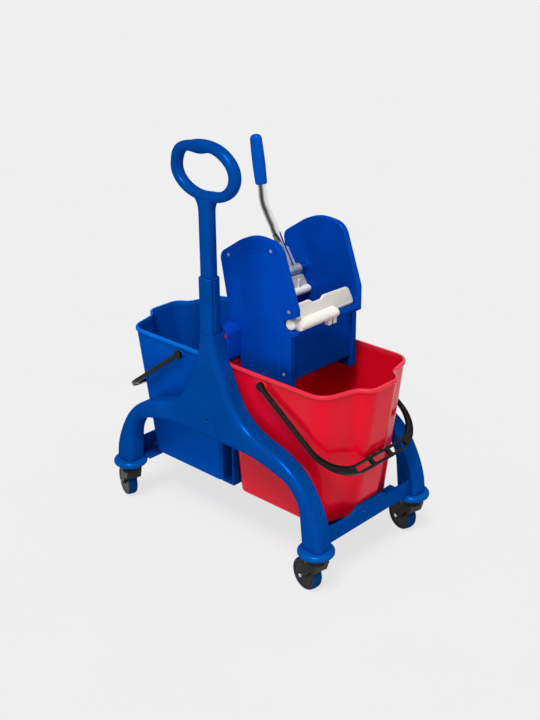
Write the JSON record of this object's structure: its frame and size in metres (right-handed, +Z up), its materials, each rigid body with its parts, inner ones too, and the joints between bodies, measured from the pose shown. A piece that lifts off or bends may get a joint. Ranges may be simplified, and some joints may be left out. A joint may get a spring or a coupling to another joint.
{
  "type": "mop bucket trolley",
  "caption": "Two-bucket mop trolley on swivel casters: arched side frames, red and blue pour-spout buckets with bail handles, a lever wringer with geared jaws and an oval push handle.",
  "frame": {"origin": "on the floor, under the middle of the whole trolley's box", "axes": "+X along the trolley towards the red bucket and its wringer, +Y away from the push handle's side, +Z up"},
  "size_m": [0.7032, 0.408, 0.9235],
  "materials": {
    "frame_blue": "satin moulded plastic",
    "bumper_blue": "soft glossy bumper",
    "bucket_red": "gloss moulded plastic",
    "bucket_blue": "gloss moulded plastic",
    "bail_black": "gloss moulded plastic",
    "wringer_blue": "satin moulded plastic",
    "plug_red": "gloss moulded plastic",
    "nylon_white": "satin nylon",
    "steel": "bright steel",
    "grip_blue": "soft sleeve",
    "caster_grey": "moulded plastic",
    "hub_grey": "moulded plastic",
    "tread_blue": "soft tread"
  },
  "bodies": {
    "chassis": {"side_frame_near": "frame_blue", "side_frame_far": "frame_blue", "socket_cap": "frame_blue", "handle_post": "frame_blue", "push_handle": "frame_blue", "handle_screws": "steel", "front_beam": "frame_blue", "rear_beam": "frame_blue", "centre_channel": "frame_blue", "frame_screws": "steel", "caster_sockets": "nylon_white", "caster_stems": "steel", "bumper_ring_near_rear": "bumper_blue", "bumper_ring_near_front": "bumper_blue", "bumper_ring_far_front": "bumper_blue", "bumper_ring_far_rear": "bumper_blue"},
    "bucket_red": {"bucket_red": "bucket_red"},
    "bucket_blue": {"bucket_blue": "bucket_blue"},
    "bail_red": {"bail_red": "bail_black"},
    "bail_blue": {"bail_blue": "bail_black"},
    "wringer": {"wringer_body": "wringer_blue", "drain_grid": "wringer_blue", "cheek_cover_near": "wringer_blue", "cheek_cover_far": "wringer_blue", "cover_screws": "steel", "hanger_near": "wringer_blue", "hanger_far": "wringer_blue", "hanger_plugs": "plug_red", "shaft_bushes": "nylon_white"},
    "lever": {"lever_shaft": "steel", "lever_hub": "steel", "lever_tube": "steel", "lever_grip": "grip_blue", "lever_bolts": "steel", "lever_gear": "nylon_white", "return_spring": "steel"},
    "rear_jaw": {"rear_jaw": "nylon_white", "rear_jaw_gear": "nylon_white"},
    "front_jaw": {"front_jaw": "nylon_white", "front_jaw_gear": "nylon_white"},
    "swivel_near_rear": {"caster_fork_near_rear": "caster_grey", "caster_axle_near_rear": "steel"},
    "wheel_near_rear": {"wheel_hub_near_rear": "hub_grey", "wheel_tread_near_rear": "tread_blue"},
    "swivel_near_front": {"caster_fork_near_front": "caster_grey", "caster_axle_near_front": "steel"},
    "wheel_near_front": {"wheel_hub_near_front": "hub_grey", "wheel_tread_near_front": "tread_blue"},
    "swivel_far_front": {"caster_fork_far_front": "caster_grey", "caster_axle_far_front": "steel"},
    "wheel_far_front": {"wheel_hub_far_front": "hub_grey", "wheel_tread_far_front": "tread_blue"},
    "swivel_far_rear": {"caster_fork_far_rear": "caster_grey", "caster_axle_far_rear": "steel"},
    "wheel_far_rear": {"wheel_hub_far_rear": "hub_grey", "wheel_tread_far_rear": "tread_blue"}
  },
  "joints": [
    {"name": "bucket_red_lift", "type": "slide", "parent": "chassis", "child": "bucket_red", "axis": [0, 0, 1], "range_m": [0, 0.11]},
    {"name": "bucket_blue_lift", "type": "slide", "parent": "chassis", "child": "bucket_blue", "axis": [0, 0, 1], "range_m": [0, 0.11]},
    {"name": "bail_red_swing", "type": "hinge", "parent": "bucket_red", "child": "bail_red", "pos_m": [0.13458, 0, 0.4225], "axis": [0, -1, 0], "range_deg": [0, 100]},
    {"name": "bail_blue_swing", "type": "hinge", "parent": "bucket_blue", "child": "bail_blue", "pos_m": [-0.11742, 0, 0.4225], "axis": [0, 1, 0], "range_deg": [0, 125]},
    {"name": "wringer_lift", "type": "slide", "parent": "bucket_red", "child": "wringer", "axis": [0, 0, 1], "range_m": [0, 0.1]},
    {"name": "lever_pull", "type": "hinge", "parent": "wringer", "child": "lever", "pos_m": [0.04537, 0, 0.60666], "axis": [0, -1, 0], "range_deg": [0, 62], "stiffness_Nm_per_rad": 1.2, "springref_deg": -34.38},
    {"name": "rear_jaw_close", "type": "hinge", "parent": "wringer", "child": "rear_jaw", "pos_m": [0.05458, 0, 0.5565], "axis": [0, 1, 0], "range_deg": [0, 89]},
    {"name": "front_jaw_close", "type": "hinge", "parent": "wringer", "child": "front_jaw", "pos_m": [0.17358, 0, 0.5565], "axis": [0, -1, 0], "range_deg": [0, 89]},
    {"name": "swivel_turn_near_rear", "type": "hinge", "parent": "chassis", "child": "swivel_near_rear", "pos_m": [-0.28742, -0.164, 0.09], "axis": [0, 0, 1], "continuous": true},
    {"name": "wheel_spin_near_rear", "type": "hinge", "parent": "swivel_near_rear", "child": "wheel_near_rear", "pos_m": [-0.31373, -0.15442, 0.0375], "axis": [0.342, 0.9397, 0], "continuous": true},
    {"name": "swivel_turn_near_front", "type": "hinge", "parent": "chassis", "child": "swivel_near_front", "pos_m": [0.30458, -0.164, 0.09], "axis": [0, 0, 1], "continuous": true},
    {"name": "wheel_spin_near_front", "type": "hinge", "parent": "swivel_near_front", "child": "wheel_near_front", "pos_m": [0.27692, -0.15962, 0.0375], "axis": [0.1564, 0.9877, 0], "continuous": true},
    {"name": "swivel_turn_far_front", "type": "hinge", "parent": "chassis", "child": "swivel_far_front", "pos_m": [0.30458, 0.164, 0.09], "axis": [0, 0, 1], "continuous": true},
    {"name": "wheel_spin_far_front", "type": "hinge", "parent": "swivel_far_front", "child": "wheel_far_front", "pos_m": [0.27719, 0.16982, 0.0375], "axis": [0.2079, 0.9781, 0], "continuous": true},
    {"name": "swivel_turn_far_rear", "type": "hinge", "parent": "chassis", "child": "swivel_far_rear", "pos_m": [-0.28742, 0.164, 0.09], "axis": [0, 0, 1], "continuous": true},
    {"name": "wheel_spin_far_rear", "type": "hinge", "parent": "swivel_far_rear", "child": "wheel_far_rear", "pos_m": [-0.31459, 0.17077, 0.0375], "axis": [0.2419, 0.9703, 0], "continuous": true}
  ],
  "couplings": [
    {"joint": "rear_jaw_close", "follows": "lever_pull", "ratio": 1.4286},
    {"joint": "front_jaw_close", "follows": "lever_pull", "ratio": 1.4286}
  ]
}
